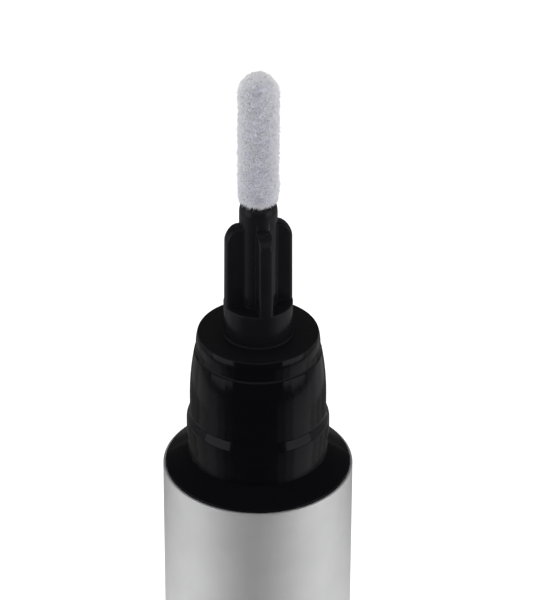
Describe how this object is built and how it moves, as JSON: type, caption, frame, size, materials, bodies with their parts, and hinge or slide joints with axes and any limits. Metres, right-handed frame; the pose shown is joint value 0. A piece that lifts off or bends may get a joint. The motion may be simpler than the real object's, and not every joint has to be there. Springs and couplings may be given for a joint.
{
  "type": "lens cleaning pen",
  "caption": "Slim metal-barrelled lens cleaning pen with a twist knob that pushes fluid through a finned black nozzle to a soft flocked tip.",
  "frame": {"origin": "centre of the flat closed end of the knob, on which the pen stands", "axes": "+Z along the pen's axis from the knob to the flocked tip; -Y is the side that faces the picture's camera, and +X is to its right"},
  "size_m": [0.012, 0.012, 0.1177],
  "materials": {
    "satin_aluminium": "satin anodised, fine even grain",
    "black_plastic": "glossy moulded",
    "flock": "short upright nylon fibres",
    "white_plastic": "moulded, slightly waxy",
    "grey_plastic": "moulded",
    "nut_plastic": "moulded, self-lubricating",
    "clear_plastic": "translucent natural",
    "seal_rubber": "smooth",
    "spring_steel": "drawn"
  },
  "bodies": {
    "barrel": {"barrel": "satin_aluminium", "neck": "black_plastic", "nozzle": "black_plastic", "applicator_core": "white_plastic", "flock_coat": "flock", "neck_seal": "seal_rubber", "nozzle_retainer": "white_plastic", "reservoir": "clear_plastic", "screw_guide": "white_plastic", "mech_housing": "grey_plastic", "thrust_washer": "white_plastic", "ratchet_ring": "grey_plastic", "rear_bush": "grey_plastic"},
    "knob": {"knob_shell": "satin_aluminium", "knob_core": "black_plastic", "glide_washer": "black_plastic", "drive_tube": "white_plastic", "drive_nut": "nut_plastic", "click_ring": "nut_plastic", "snap_ring": "spring_steel"},
    "plunger": {"piston_screw": "white_plastic", "piston": "white_plastic", "piston_seal": "seal_rubber"}
  },
  "joints": [
    {"name": "knob_twist", "type": "hinge", "parent": "barrel", "child": "knob", "pos_m": [0, 0, 0.007], "axis": [0, 0, 1], "range_deg": [0, 3600], "deforming": ["click_ring"]},
    {"name": "piston_slide", "type": "slide", "parent": "barrel", "child": "plunger", "axis": [0, 0, 1], "range_m": [0, 0.0301]}
  ],
  "couplings": [
    {"joint": "piston_slide", "follows": "knob_twist", "m_per_rad": 0.00047746}
  ]
}
